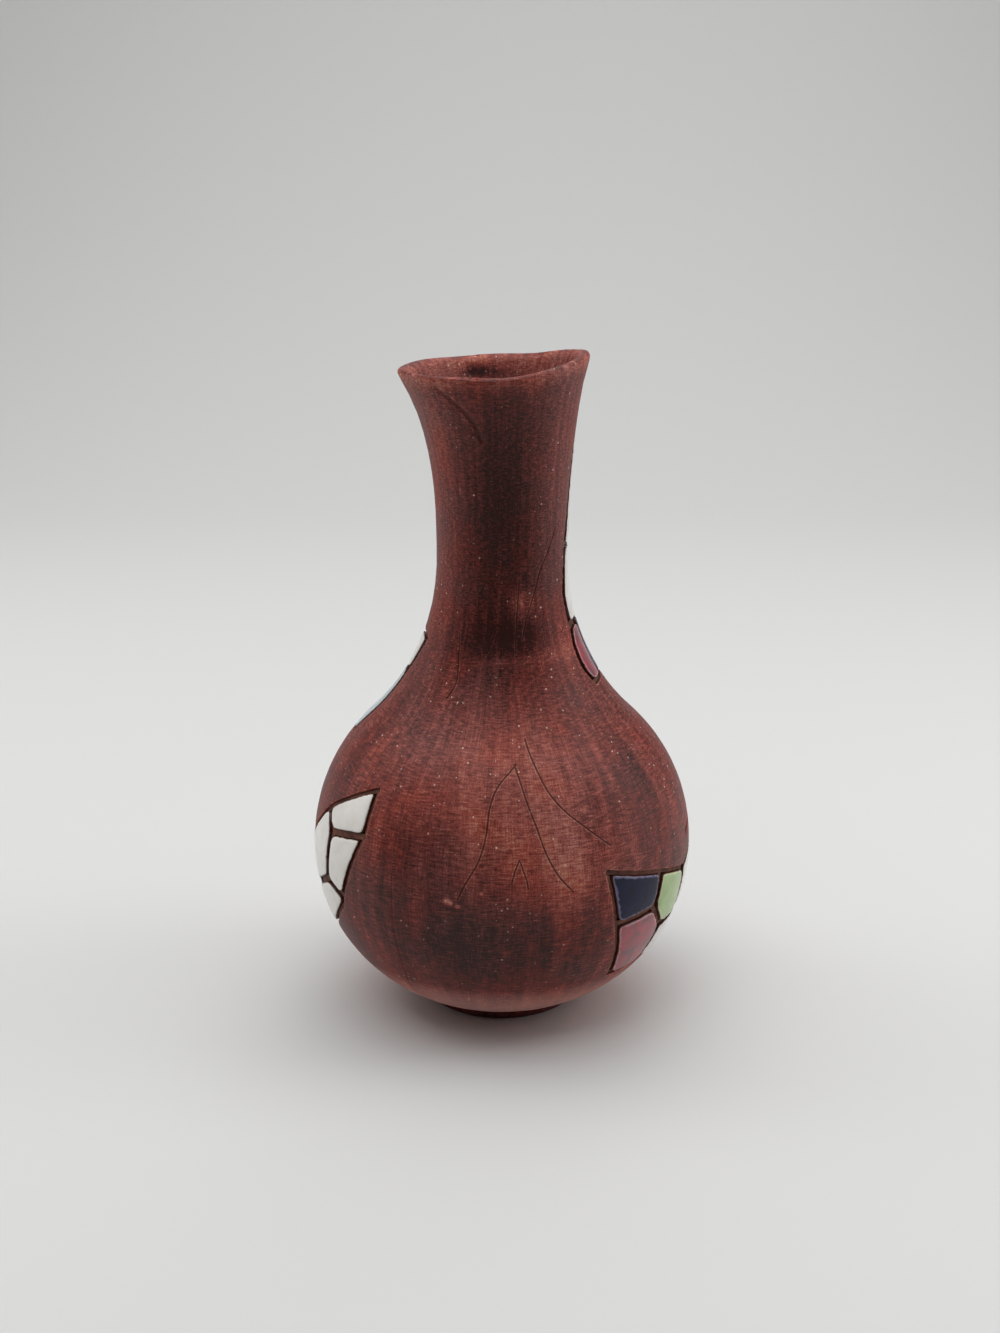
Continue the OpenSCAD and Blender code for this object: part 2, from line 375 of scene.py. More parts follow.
@dataclass(frozen=True)
class TerracottaFinish:
    """Wheel-thrown red terracotta, rubbed with a dark stain and waxed.

    The eye gets a satin maroon skin: long brushed bands of stain, a fine canvas-like hatch of wheel rings and
    brush hairs, pale grains of grog, dark scratched lines, redder clay where a rib or a hand has rubbed it, and
    a pale bloom low on the belly that is dust and a painted reflection of the floor. Painted light and shade are
    laid in as well: lighter where the lamps fall, darker inside the mouth, on the foot, on the rim's top and where
    the pot faces away from the light.
    """

    name: str = "stained_waxed_terracotta"
    stain: str = "#331511"
    body: str = "#6f312b"
    rubbed: str = "#9f5146"
    worn: str = "#c68370"
    # Dark colour of the scratched lines, also used for painted shade in the mouth and on the foot.
    scratch_and_shade: str = "#3a1712"
    grog: str = "#f3d3c4"
    # Pale bloom low on the belly: dust and a painted reflection of the floor.
    dust_and_floor_reflection: str = "#e3b9b2"
    plain_tone: float = 0.4
    body_tone: float = 0.36
    rubbed_tone: float = 0.66
    wear_gain: float = 0.5
    cloud_mm: float = 24.0
    cloud_weight: float = 0.5
    cloud_span: tuple[float, float] = (0.35, 0.65)
    saturation: tuple[float, float] = (0.92, 1.06)
    band_mm: float = 5.0
    band_run: float = 11.0
    band_weight: float = 0.6
    # Brush hairs and clay grains are finer in life, and are drawn as coarse as they need to show.
    hatch_mm: float = 0.5
    hatch_run: float = 8.0
    ring_weight: float = 0.85
    streak_weight: float = 0.5
    grain_mm: float = 0.45
    grain_weight: float = 0.65
    grog_spacing_mm: float = 1.8
    grog_share: float = 0.34
    grog_radius_mm: float = 0.46
    grog_strength: float = 1.5
    grog_bared: float = 0.5
    relief_mm: float = 0.08
    relief_strength: float = 0.6
    gloss_span: tuple[float, float] = (0.1, 0.9)
    roughness: tuple[float, float] = (0.45, 0.62)
    ior: float = 1.48
    specular: float = 0.26

    def material(self) -> bpy.types.Material:
        """Builds the procedural material.

        Returns:
            The material.
        """
        material, tree, shader = new_material(self.name)
        place = add_node(tree, "ShaderNodeTexCoord").outputs["Object"]
        cloud, band, ring, streak, grain = self.layers(tree, place)
        wear_and_shading, lines_and_shade, dust_and_floor_reflection = (add_node(tree, "ShaderNodeAttribute", attribute_name=name).outputs["Fac"]
                              for name in ("wear_and_shading", "lines_and_shade", "dust_and_floor_reflection"))
        # The wear attribute also carries painted light and shade, which lighten or darken the tone like real wear
        # or stain.
        tone = add_node(tree, "ShaderNodeMath", {0: wear_and_shading, 1: self.wear_gain, 2: self.plain_tone},
                        operation="MULTIPLY_ADD").outputs[0]
        # Each noise averages one half, so it darkens the skin as much as it lightens it.
        for layer, weight in ((cloud, self.cloud_weight), (band, self.band_weight), (ring, self.ring_weight),
                              (streak, self.streak_weight), (grain, self.grain_weight)):
            share = add_node(tree, "ShaderNodeMath", {0: layer, 1: 0.5}, operation="SUBTRACT").outputs[0]
            tone = add_node(tree, "ShaderNodeMath", {0: share, 1: weight, 2: tone},
                            operation="MULTIPLY_ADD").outputs[0]
        skin = add_node(tree, "ShaderNodeValToRGB", {0: tone},
                        stops=((0.0, self.stain), (1.0, self.worn), (self.body_tone, self.body),
                               (self.rubbed_tone, self.rubbed))).outputs[0]
        fading = add_node(tree, "ShaderNodeMapRange", {
            "Value": cloud, "From Min": self.cloud_span[0], "From Max": self.cloud_span[1],
            "To Min": self.saturation[0], "To Max": self.saturation[1]}).outputs[0]
        colour = add_node(tree, "ShaderNodeHueSaturation", {"Saturation": fading, "Color": skin}).outputs[0]
        bared = add_node(tree, "ShaderNodeMapRange", {"Value": tone, "From Min": 0.0,
                                                      "From Max": self.grog_bared}).outputs[0]
        specks = add_node(tree, "ShaderNodeMath", {0: self.specks(tree, place), 1: bared},
                          operation="MULTIPLY").outputs[0]
        # Over the skin: grains of grog, the pale low bloom of dust with painted floor reflection, and the dark
        # colour of the scratched lines and of painted shade.
        for cover, coat in ((specks, self.grog), (dust_and_floor_reflection, self.dust_and_floor_reflection), (lines_and_shade, self.scratch_and_shade)):
            colour = add_node(tree, "ShaderNodeMix", {0: cover, 6: colour, 7: linear(coat)},
                              data_type="RGBA").outputs[2]
        tree.links.new(colour, shader.inputs["Base Color"])
        gloss = add_node(tree, "ShaderNodeMapRange", {
            "Value": tone, "From Min": self.gloss_span[0], "From Max": self.gloss_span[1],
            "To Min": self.roughness[0], "To Max": self.roughness[1]}).outputs[0]
        tree.links.new(gloss, shader.inputs["Roughness"])
        hatch = add_node(tree, "ShaderNodeMath", {0: ring, 1: streak}).outputs[0]
        relief = add_node(tree, "ShaderNodeMath", {0: grain, 1: hatch}).outputs[0]
        bump = add_node(tree, "ShaderNodeBump", {"Height": relief, "Strength": self.relief_strength,
                                                 "Distance": self.relief_mm * MM})
        tree.links.new(bump.outputs[0], shader.inputs["Normal"])
        shader.inputs["IOR"].default_value = self.ior
        shader.inputs["Specular IOR Level"].default_value = self.specular
        return material

    def layers(self, tree: bpy.types.NodeTree, place: bpy.types.NodeSocket) -> list[bpy.types.NodeSocket]:
        """Adds the noises of the skin, the long ones wrapped round the pot.

        Args:
            tree: Node tree of the material.
            place: Socket of the place on the object.

        Returns:
            Clouds, bands of stain, wheel rings, brush hairs and grain.
        """
        flat = add_node(tree, "ShaderNodeVectorMath", {0: place, 1: (1, 1, 0)}, operation="MULTIPLY").outputs[0]
        turn = add_node(tree, "ShaderNodeVectorMath", {0: flat}, operation="NORMALIZE").outputs[0]
        girth = add_node(tree, "ShaderNodeVectorMath", {0: turn, "Scale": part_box("belly")[1].x},
                         operation="SCALE").outputs[0]
        rise = add_node(tree, "ShaderNodeVectorMath", {0: place, 1: (0, 0, 1)}, operation="MULTIPLY").outputs[0]
        wrapped = add_node(tree, "ShaderNodeVectorMath", {0: girth, 1: rise}, operation="ADD").outputs[0]
        bands, down, level = (
            add_node(tree, "ShaderNodeMapping", {0: wrapped, "Scale": scale}).outputs[0]
            for scale in ((1, 1, 1 / self.band_run), (1, 1, 1 / self.hatch_run),
                          (1 / self.hatch_run, 1 / self.hatch_run, 1)))
        return [add_node(tree, "ShaderNodeTexNoise", {"Vector": vector, "Scale": 1 / (size * MM), "Detail": detail,
                                                      "Roughness": ROUGH_NOISE}).outputs[0]
                for vector, size, detail in ((place, self.cloud_mm, 4.0), (bands, self.band_mm, 2.0),
                                             (level, self.hatch_mm, 1.0), (down, self.hatch_mm, 1.0),
                                             (place, self.grain_mm, 1.0))]

    def specks(self, tree: bpy.types.NodeTree, place: bpy.types.NodeSocket) -> bpy.types.NodeSocket:
        """Adds the grains of grog, each with its own size.

        Args:
            tree: Node tree of the material.
            place: Socket of the place on the object.

        Returns:
            Strength of the grain at each place, highest at its heart.
        """
        grog = add_node(tree, "ShaderNodeTexVoronoi", {"Vector": place, "Scale": 1 / (self.grog_spacing_mm * MM)})
        chance = add_node(tree, "ShaderNodeSeparateColor", {0: grog.outputs["Color"]}).outputs[0]
        reach = add_node(tree, "ShaderNodeMapRange", {
            "Value": chance, "From Min": 1 - self.grog_share, "From Max": 1.0, "To Min": NO_REACH,
            "To Max": self.grog_radius_mm / self.grog_spacing_mm}).outputs[0]
        return add_node(tree, "ShaderNodeMapRange", {
            "Value": grog.outputs["Distance"], "From Min": 0.0, "From Max": reach,
            "To Min": self.grog_strength, "To Max": 0.0}).outputs[0]


@dataclass(frozen=True)
class BeddingFinish:
    """Iron-dark slip left rough in the joints, which reads as matt brown with sandy grains."""

    name: str = "rough_bedding_slip"
    dark: str = "#3b1f19"
    light: str = "#86523f"
    dark_tone: float = 0.45
    light_tone: float = 0.95
    lump_mm: float = 3.0
    sand_mm: float = 0.5
    sand_weight: float = 0.4
    relief_mm: float = 0.2
    relief_strength: float = 0.7
    roughness: float = 0.82

    def material(self) -> bpy.types.Material:
        """Builds the procedural material.

        Returns:
            The material.
        """
        material, tree, shader = new_material(self.name)
        place = add_node(tree, "ShaderNodeTexCoord").outputs["Object"]
        lumps = add_node(tree, "ShaderNodeTexNoise", {"Vector": place, "Scale": 1 / (self.lump_mm * MM),
                                                      "Detail": 4.0}).outputs[0]
        sand = add_node(tree, "ShaderNodeTexNoise", {"Vector": place, "Scale": 1 / (self.sand_mm * MM)}).outputs[0]
        tone = add_node(tree, "ShaderNodeMath", {0: sand, 1: self.sand_weight, 2: lumps},
                        operation="MULTIPLY_ADD").outputs[0]
        ramp = add_node(tree, "ShaderNodeValToRGB", {0: tone},
                        stops=((self.dark_tone, self.dark), (self.light_tone, self.light)))
        tree.links.new(ramp.outputs[0], shader.inputs["Base Color"])
        bump = add_node(tree, "ShaderNodeBump", {"Height": tone, "Strength": self.relief_strength,
                                                 "Distance": self.relief_mm * MM})
        tree.links.new(bump.outputs[0], shader.inputs["Normal"])
        shader.inputs["Roughness"].default_value = self.roughness
        return material


@dataclass(frozen=True)
class GlazeFinish:
    """Fired satin glaze on a tile.

    The eye gets clouds where it pooled, a broken colour along the rim and bare dark clay at the sides.
    """

    name: str
    slot: Slot
    body: str
    cloud: str
    rim: str
    cloud_mm: float = 6.0
    cloud_span: tuple[float, float] = (0.38, 0.66)
    rim_mm: float = 0.8
    rim_break_mm: float = 1.4
    pinhole_share: float = 0.0
    pinhole_spacing_mm: float = 2.6
    pinhole_reach: float = 0.2
    pinhole_strength: float = 0.8
    pinhole: str = "#8d8983"
    bare: str = "#432119"
    relief_mm: float = 0.08
    relief_strength: float = 0.25
    roughness: float = 0.24
    ior: float = 1.52
    specular: float = 0.35

    def material(self) -> bpy.types.Material:
        """Builds the procedural material.

        Returns:
            The material.
        """
        material, tree, shader = new_material(self.name)
        place = add_node(tree, "ShaderNodeTexCoord").outputs["Object"]
        clouds = add_node(tree, "ShaderNodeTexNoise", {"Vector": place, "Scale": 1 / (self.cloud_mm * MM),
                                                       "Detail": 4.0, "Roughness": ROUGH_NOISE}).outputs[0]
        pooled = add_node(tree, "ShaderNodeMapRange", {"Value": clouds, "From Min": self.cloud_span[0],
                                                       "From Max": self.cloud_span[1]}).outputs[0]
        broken = add_node(tree, "ShaderNodeTexNoise", {"Vector": place, "Scale": 1 / (self.rim_break_mm * MM),
                                                       "Detail": 2.0}).outputs[0]
        inset, side = (add_node(tree, "ShaderNodeAttribute", attribute_name=name).outputs["Fac"]
                       for name in ("rim", "side"))
        # The noise averages one half, so with twice rim_mm the rim is rim_mm wide on average.
        reach = add_node(tree, "ShaderNodeMath", {0: broken, 1: 2.0 * self.rim_mm},
                         operation="MULTIPLY").outputs[0]
        thin = add_node(tree, "ShaderNodeMapRange", {"Value": inset, "From Min": 0.0, "From Max": reach,
                                                     "To Min": 1.0, "To Max": 0.0}).outputs[0]
        coats = [(pooled, self.cloud), (thin, self.rim)]
        if self.pinhole_share > 0:
            coats.append((self.pinholes(tree, place), self.pinhole))
        coats.append((side, self.bare))
        colour: Any = linear(self.body)
        for cover, coat in coats:
            colour = add_node(tree, "ShaderNodeMix", {0: cover, 6: colour, 7: linear(coat)},
                              data_type="RGBA").outputs[2]
        tree.links.new(colour, shader.inputs["Base Color"])
        bump = add_node(tree, "ShaderNodeBump", {"Height": clouds, "Strength": self.relief_strength,
                                                 "Distance": self.relief_mm * MM})
        tree.links.new(bump.outputs[0], shader.inputs["Normal"])
        shader.inputs["Roughness"].default_value = self.roughness
        shader.inputs["IOR"].default_value = self.ior
        shader.inputs["Specular IOR Level"].default_value = self.specular
        return material

    def pinholes(self, tree: bpy.types.NodeTree, place: bpy.types.NodeSocket) -> bpy.types.NodeSocket:
        """Adds a few small grey spots.

        Args:
            tree: Node tree of the material.
            place: Socket of the place on the object.

        Returns:
            Strength of the spot at each place, highest at its middle.
        """
        holes = add_node(tree, "ShaderNodeTexVoronoi", {"Vector": place,
                                                        "Scale": 1 / (self.pinhole_spacing_mm * MM)})
        chance = add_node(tree, "ShaderNodeSeparateColor", {0: holes.outputs["Color"]}).outputs[0]
        reach = add_node(tree, "ShaderNodeMapRange", {
            "Value": chance, "From Min": 1 - self.pinhole_share, "From Max": 1.0, "To Min": NO_REACH,
            "To Max": self.pinhole_reach}).outputs[0]
        return add_node(tree, "ShaderNodeMapRange", {
            "Value": holes.outputs["Distance"], "From Min": 0.0, "From Max": reach,
            "To Min": self.pinhole_strength, "To Max": 0.0}).outputs[0]


GLAZES = (
    GlazeFinish("tin_white_glaze", Slot.WHITE, "#f6f2ec", "#ece7e0", "#dcc9bf", rim_mm=0.35, pinhole_share=0.12),
    GlazeFinish("cobalt_navy_glaze", Slot.NAVY, "#10122c", "#181b3a", "#8b86a3", rim_mm=0.9, specular=0.2),
    GlazeFinish("copper_green_glaze", Slot.GREEN, "#9fb87e", "#b0c68f", "#e2e0b4", rim_mm=0.9),
    GlazeFinish("rose_pink_glaze", Slot.PINK, "#b2525c", "#7d575c", "#d2a0a4", cloud_mm=4.5, rim_mm=0.8),
    GlazeFinish("pale_blue_glaze", Slot.PALE_BLUE, "#b3c1c8", "#c6cfd2", "#b5adab", rim_mm=0.4),
)


@dataclass(frozen=True)
class Wobble:
    """Unevenness that the wheel and the hands left, shared by every piece so that they keep their seats."""

    oval: float = 0.2
    oval_rise: float = 45.0
    waver: float = 0.15
    waver_rise: float = 19.0
    waver_start: float = 1.3
    calm_radius: float = 20.0

    def moved(self, points: np.ndarray) -> np.ndarray:
        """Draws points in towards the axis by the local unevenness.

        Args:
            points: Places in millimetres.

        Returns:
            The moved places, never farther out than before.
        """
        turn, height = bearings(points), points[:, 2]
        radius = np.hypot(points[:, 0], points[:, 1])
        inward = (self.oval * (0.5 + 0.5 * np.sin(2 * turn + height / self.oval_rise))
                  + self.waver * (0.5 + 0.5 * np.sin(3 * turn + self.waver_start + height / self.waver_rise)))
        share = 1 - inward * np.minimum(1, radius / self.calm_radius) / np.maximum(radius, 1)
        return points * np.column_stack((share, share, np.ones(len(points))))


@dataclass(frozen=True)
class Stroke:
    """Line drawn into the leather-hard clay, through listed bearings and heights."""

    course: tuple[tuple[float, float], ...]
    width: float = 0.42
    depth: float = 0.28
    dark: float = 0.8

    def spots(self, step: int = 24) -> np.ndarray:
        """Resamples the course along a smooth curve.

        Args:
            step: Samples for each span between two chosen points.

        Returns:
            Bearing and height of each sample.
        """
        chosen = np.array(self.course)
        ends = np.vstack((2 * chosen[0] - chosen[1], chosen, 2 * chosen[-1] - chosen[-2]))
        along = np.linspace(0, 1, step, endpoint=False)[:, None]
        spans = []
        for before, start, stop, after in zip(ends, ends[1:], ends[2:], ends[3:]):
            spans.append(0.5 * (2 * start + (stop - before) * along
                                + (2 * before - 5 * start + 4 * stop - after) * along ** 2
                                + (3 * start - before - 3 * stop + after) * along ** 3))
        return np.vstack((*spans, chosen[-1:]))


@dataclass(frozen=True)
class Patch:
    """Soft oval spot on one side of the wall: a rubbed or stained area, a dent, or a spot of painted light or
    shade.
    """

    bearing: float
    height: float
    across: float
    along: float
    wear_and_shading: float = 0.0
    dent: float = 0.0
    inner: bool = False

    def shares(self, points: np.ndarray, centre: np.ndarray) -> np.ndarray:
        """Works out how much of the patch each point gets.

        Args:
            points: Places in millimetres.
            centre: Place of the patch's centre.

        Returns:
            One share for each point, 1 at the centre.
        """
        turn = math.radians(self.bearing)
        offset = points - centre
        sideways = offset @ np.array((math.cos(turn), math.sin(turn), 0.0))
        lengthways = np.sum(offset ** 2, axis=1) - sideways ** 2
        return np.exp(-0.5 * ((sideways / self.across) ** 2 + lengthways / self.along ** 2))


STEMS = (
    Stroke(((5.2, 100), (-1.4, 94.5), (-4, 88.6), (-4.8, 81.4), (-6.7, 73.6), (-10.8, 65.1), (-12.6, 60.7))),
    Stroke(((4.6, 100), (6.3, 95.8), (8.4, 89.2), (10.5, 83.1), (12.9, 75.1), (16.1, 68.1), (20.3, 62.2))),
    Stroke(((10.2, 106.3), (11.4, 102.4), (13.3, 97.7), (16.2, 91.9), (20.7, 86.4), (26.8, 80.8), (33.8, 74.4))),
    Stroke(((4.9, 73.5), (3.6, 70.1), (2.7, 66.4)), width=0.38),
    Stroke(((5.3, 72.8), (6.9, 67.3), (7.3, 64.6)), width=0.38),
    Stroke(((-33.2, 72.5), (-33.4, 50.4), (-34.1, 30.2), (-40, 10)), width=0.45, depth=0.25),
    Stroke(((14.4, 152.7), (11.6, 141.4), (9.1, 130.6)), width=0.38),
    Stroke(((51.6, 169.5), (40.6, 160.9), (34.2, 156.6), (28.7, 150.3), (19.5, 141.2), (15, 134.7)), width=0.38),
    Stroke(((-34.5, 136), (-31, 127.5), (-29.2, 121.3), (-32.5, 116)), width=0.38),
    Stroke(((-5.1, 137.9), (-10.5, 130.6)), width=0.38),
    Stroke(((-41, 216.4), (-23.3, 207.7), (-15, 199.9)), width=1.1, depth=0.35, dark=0.5),
    Stroke(((76, 65), (79.5, 66), (83, 66.5)), width=1.3, depth=0.7),
)

PATCHES = (
    # Painted light: the next two patches lighten the belly where the right lamp falls.
    Patch(16, 80, 9, 15, wear_and_shading=0.4),
    Patch(22, 66, 11, 9, wear_and_shading=0.4),
    Patch(-6, 105, 17, 10, wear_and_shading=0.35),
    Patch(40, 98, 8, 8, wear_and_shading=0.15),
    Patch(49.8, 129.4, 5, 3, wear_and_shading=0.5),
    Patch(2, 128.3, 9, 1.6, wear_and_shading=0.45),
    Patch(27, 129.3, 5, 1.6, wear_and_shading=0.4),
    # Painted light: the next two patches lighten the flanks of the neck, where the side lamps fall.
    Patch(-63, 178, 8, 22, wear_and_shading=0.25),
    Patch(54, 185, 8, 24, wear_and_shading=0.25),
    # Painted shade on the low front of the belly, which faces away from the lamps.
    Patch(-1, 40, 30, 13, wear_and_shading=-0.65),
    Patch(-4, 82, 11, 13, wear_and_shading=0.4),
    Patch(-30, 62, 13, 22, wear_and_shading=-0.2),
    Patch(-62, 38, 14, 18, wear_and_shading=-0.3),
    Patch(52, 88, 8, 13, wear_and_shading=-0.2),
    # Painted shade and dark reflection: the next two patches darken the front of the neck and its base, which face
    # the dark camera side.
    Patch(3, 172, 11, 34, wear_and_shading=-0.8),
    Patch(0, 135, 20, 6, wear_and_shading=-0.55),
    Patch(-15.8, 59.8, 0.8, 0.7, wear_and_shading=1.6, dent=0.4),
    Patch(-14.6, 59.2, 0.5, 0.5, wear_and_shading=1.5, dent=0.3),
    Patch(-12.6, 58.2, 0.6, 0.5, wear_and_shading=1.4, dent=0.3),
    Patch(-5.9, 63.0, 0.5, 0.4, wear_and_shading=1.2, dent=0.25),
    # Dent in the rim, darkened with painted shade.
    Patch(-16, 220, 5, 3, wear_and_shading=-0.3, dent=0.7),
    # Painted shade: the next two patches darken the far inside wall of the mouth.
    Patch(-161, 215.8, 3, 1.2, wear_and_shading=-1.5, inner=True),
    Patch(-173, 215, 4.5, 1.1, wear_and_shading=-0.9, inner=True),
    Patch(-48, 203, 6, 9, wear_and_shading=0.2),
    Patch(16, 146, 3, 3.5, wear_and_shading=0.9),
    Patch(-28, 75, 5.5, 5.5, wear_and_shading=-0.25),
    Patch(-20, 20, 14, 5, wear_and_shading=0.2),
)


@dataclass
class ClayBody:
    """Belly and neck: one thrown skin, cut at the luted seam into the two pieces."""

    finish: TerracottaFinish
    wobble: Wobble
    voxel: float = 0.55
    relax_passes: int = 2
    inside_kept: float = 0.1
    outside_kept: float = 0.255
    fine_reach: float = 0.8
    fine_edge: float = 0.28
    fine_rounds: int = 4
    small_patch: float = 1.0
    groove_power: float = 0.8
    groove_spread: float = 2.0
    unevenness: float = 0.05
    unevenness_size: float = 4.0
    lip_zone: float = 14.0
    rim_sag: float = 0.35
    rim_waves: tuple[tuple[float, int, float], ...] = ((0.2, 3, 0.4), (0.15, 7, 1.0))
    front_dip: float = 0.3
    front_half: float = 0.7
    lip_wear: float = 0.65
    # Stain and painted shade on the rim's top edge, which darken it against the light from above.
    lip_stain_and_shade: float = 0.9
    stain_and_shade_share: float = 0.7
    lip_edge: float = 1.3
    lip_band: float = 5.5
    lip_ragged: float = 1.6
    lip_fade: float = 3.0
    # Painted shade inside the mouth: the inside wall darkens from a set depth below the rim, up to a set share.
    mouth_painted_shade: float = 0.9
    mouth_shade_start: float = 4.0
    edge_gain: float = 7.0
    edge_start: float = 0.06
    # Low on the belly: scuffs with painted light bounced from the floor, and a pale bloom that is dust and a
    # painted reflection of the floor.
    scuff_and_floor_bounce: float = 0.9
    dust_and_reflection_share: float = 0.55
    low_band_height: float = 24.0
    low_band_fade: float = 17.0
    rim_sectors: int = 180
    seam: float = field(default_factory=lambda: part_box("neck")[0].z / MM)
    rim: float = field(default_factory=lambda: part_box("neck")[1].z / MM)

    def build(self) -> list[bpy.types.Object]:
        """Models, marks, cuts and dresses the clay.

        Returns:
            The belly and the neck.
        """
        shell = self.thrown_shell()
        tree = BVHTree.FromBMesh(shell)
        strokes = [(stroke, self.on_surface(tree, stroke.spots())) for stroke in STEMS]
        patches = [(patch, self.on_surface(tree, [(patch.bearing, patch.height)], patch.inner)[0])
                   for patch in PATCHES]
        chips = [(patch.bearing + along, patch.height + rise) for patch in PATCHES
                 if patch.across < self.small_patch for along in (-1, 0, 1) for rise in (-1, 0, 1)]
        drawn = [places for _, places in strokes]
        mesh = self.refined(shell, np.vstack((*drawn, self.on_surface(tree, chips))))
        self.carve(mesh, strokes, patches)
        return [self.cut_piece(mesh, node) for node in ("belly", "neck")]

    def thrown_shell(self) -> bmesh.types.BMesh:
        """Joins belly and neck into one softened skin, with fewer faces where the inside doesn't show.

        Returns:
            The skin.
        """
        mesh = modified(as_mesh(cad_copy("belly", "neck"), "clay"), "REMESH", mode="VOXEL",
                        voxel_size=self.voxel * MM)
        shell = as_shape(mesh)
        relax(shell, self.relax_passes)
        bmesh.ops.triangulate(shell, faces=shell.faces)
        mesh = as_mesh(shell, "clay")
        hidden = self.faces_inwards(mesh) & (points_of(mesh)[:, 2] < self.rim - 2 * self.lip_zone)
        mesh = modified(mesh, "DECIMATE", group=np.flatnonzero(hidden).tolist(),
                        ratio=1 - (1 - self.inside_kept) * hidden.mean())
        return as_shape(modified(mesh, "DECIMATE", ratio=self.outside_kept))

    @staticmethod
    def faces_inwards(mesh: bpy.types.Mesh) -> np.ndarray:
        """Tells for each vertex whether it belongs to the inside of the wall."""
        return np.sum(normals_of(mesh)[:, :2] * points_of(mesh)[:, :2], axis=1) < 0

    @staticmethod
    def on_surface(tree: BVHTree, spots: Sequence[tuple[float, float]] | np.ndarray,
                   inner: bool = False) -> np.ndarray:
        """Finds the places on the wall at given bearings and heights.

        Args:
            tree: Search tree of the clay.
            spots: Bearing and height of each place.
            inner: Whether to take the inside of the wall.

        Returns:
            Places in millimetres.
        """
        reach = 2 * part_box("belly")[1].x
        places = []
        for bearing, height in spots:
            outwards = Vector((math.sin(math.radians(bearing)), -math.cos(math.radians(bearing)), 0))
            axis = Vector((0, 0, height * MM))
            hit = tree.ray_cast(axis, outwards) if inner else tree.ray_cast(axis + reach * outwards, -outwards)
            places.append(hit[0] / MM)
        return np.array(places)

    def refined(self, shell: bmesh.types.BMesh, places: np.ndarray) -> bpy.types.Mesh:
        """Splits the faces near the drawn lines and small chips, so that they can be cut sharply.

        Args:
            shell: The clay, which is freed.
            places: Places on the lines and chips, in millimetres.

        Returns:
            The finer clay.
        """
        finder = search_tree(places * MM)
        edges = list(shell.edges)
        for _ in range(self.fine_rounds):
            middles = ((edge, edge.calc_length(), (edge.verts[0].co + edge.verts[1].co) / 2) for edge in edges)
            edges = [edge for edge, length, middle in middles if length > self.fine_edge * MM
                     and finder.find(middle)[2] < self.fine_reach * MM + length / 2]
            split = bmesh.ops.subdivide_edges(shell, edges=edges, cuts=1)["geom"]
            cut_to_triangles(shell)
            fresh = (item for item in split if isinstance(item, bmesh.types.BMVert))
            edges = list(dict.fromkeys(edge for vertex in fresh for edge in vertex.link_edges))
        return as_mesh(shell, "clay")

    @staticmethod
    def closeness(points: np.ndarray, places: np.ndarray, reach: float) -> np.ndarray:
        """Distance of each point from a drawn line, up to a reach.

        Args:
            points: Places in millimetres.
            places: Samples along the line.
            reach: Largest distance that matters.

        Returns:
            Distances in millimetres, never more than the reach.
        """
        distance = np.full(len(points), reach)
        low, high = places.min(axis=0) - reach, places.max(axis=0) + reach
        close = np.flatnonzero(np.all((points > low) & (points < high), axis=1))
        line = search_tree(places)
        distance[close] = [min(reach, line.find(points[k])[2]) for k in close]
        return distance

    def carve(self, mesh: bpy.types.Mesh, strokes: Sequence[tuple[Stroke, np.ndarray]],
              patches: Sequence[tuple[Patch, np.ndarray]]) -> None:
        """Presses lines, dents, uneven rim and hand wobble into the clay, and notes its wear, dark grooves and
        painted light and shade.

        Args:
            mesh: The clay, which is changed.
            strokes: Each drawn line with its places on the clay.
            patches: Each patch with the place of its centre.
        """
        points = points_of(mesh)
        inside = self.faces_inwards(mesh)
        cut, lines_and_shade, wear_and_shading = np.zeros((3, len(points)))
        for stroke, places in strokes:
            share = 1 - self.closeness(points, places, stroke.width) / stroke.width
            cut = np.maximum(cut, stroke.depth * share ** self.groove_power)
            lines_and_shade = np.maximum(lines_and_shade, stroke.dark * np.minimum(1, self.groove_spread * share))
        for patch, centre in patches:
            share = patch.shares(points, centre) * (inside == patch.inner)
            cut += patch.dent * share
            wear_and_shading += patch.wear_and_shading * share
        cut += self.unevenness * (1 + ripple(points, self.unevenness_size))
        moved = self.wobble.moved(points - cut[:, None] * normals_of(mesh))
        moved[:, 2] -= self.rim_drop(points)
        move_points(mesh, moved)
        depth = self.below_rim(moved)
        blotches = ripple(points, self.lip_fade)
        band = np.clip((self.lip_band - depth - self.lip_ragged * blotches) / self.lip_fade, 0, 1)
        # The rim's top edge is darkened: stain and painted shade against the light from above.
        rim_stain_and_shade = np.clip(1 - depth / self.lip_edge, 0, 1) * self.lip_stain_and_shade
        wear_and_shading -= rim_stain_and_shade * np.clip(self.stain_and_shade_share + blotches, 0, 1)
        # Lighter and paler towards the bottom: scuffs and dust, with painted floor bounce and floor reflection.
        low = np.clip((self.low_band_height - moved[:, 2]) / self.low_band_fade, 0, 1)
        wear_and_shading += self.sharp_edges(mesh) * (1 - band) + self.scuff_and_floor_bounce * low
        wear_and_shading += self.lip_wear * np.where(inside, np.clip(1 - depth / self.lip_zone, 0, 1), band)
        # Painted shade: the inside of the mouth darkens with depth, stored with the dark lines.
        shade = np.clip((depth - self.mouth_shade_start) / self.lip_zone, 0, self.mouth_painted_shade)
        write_attribute(mesh, "lines_and_shade", np.where(inside, np.maximum(lines_and_shade, shade), lines_and_shade))
        write_attribute(mesh, "wear_and_shading", wear_and_shading)
        write_attribute(mesh, "dust_and_floor_reflection", self.dust_and_reflection_share * low)

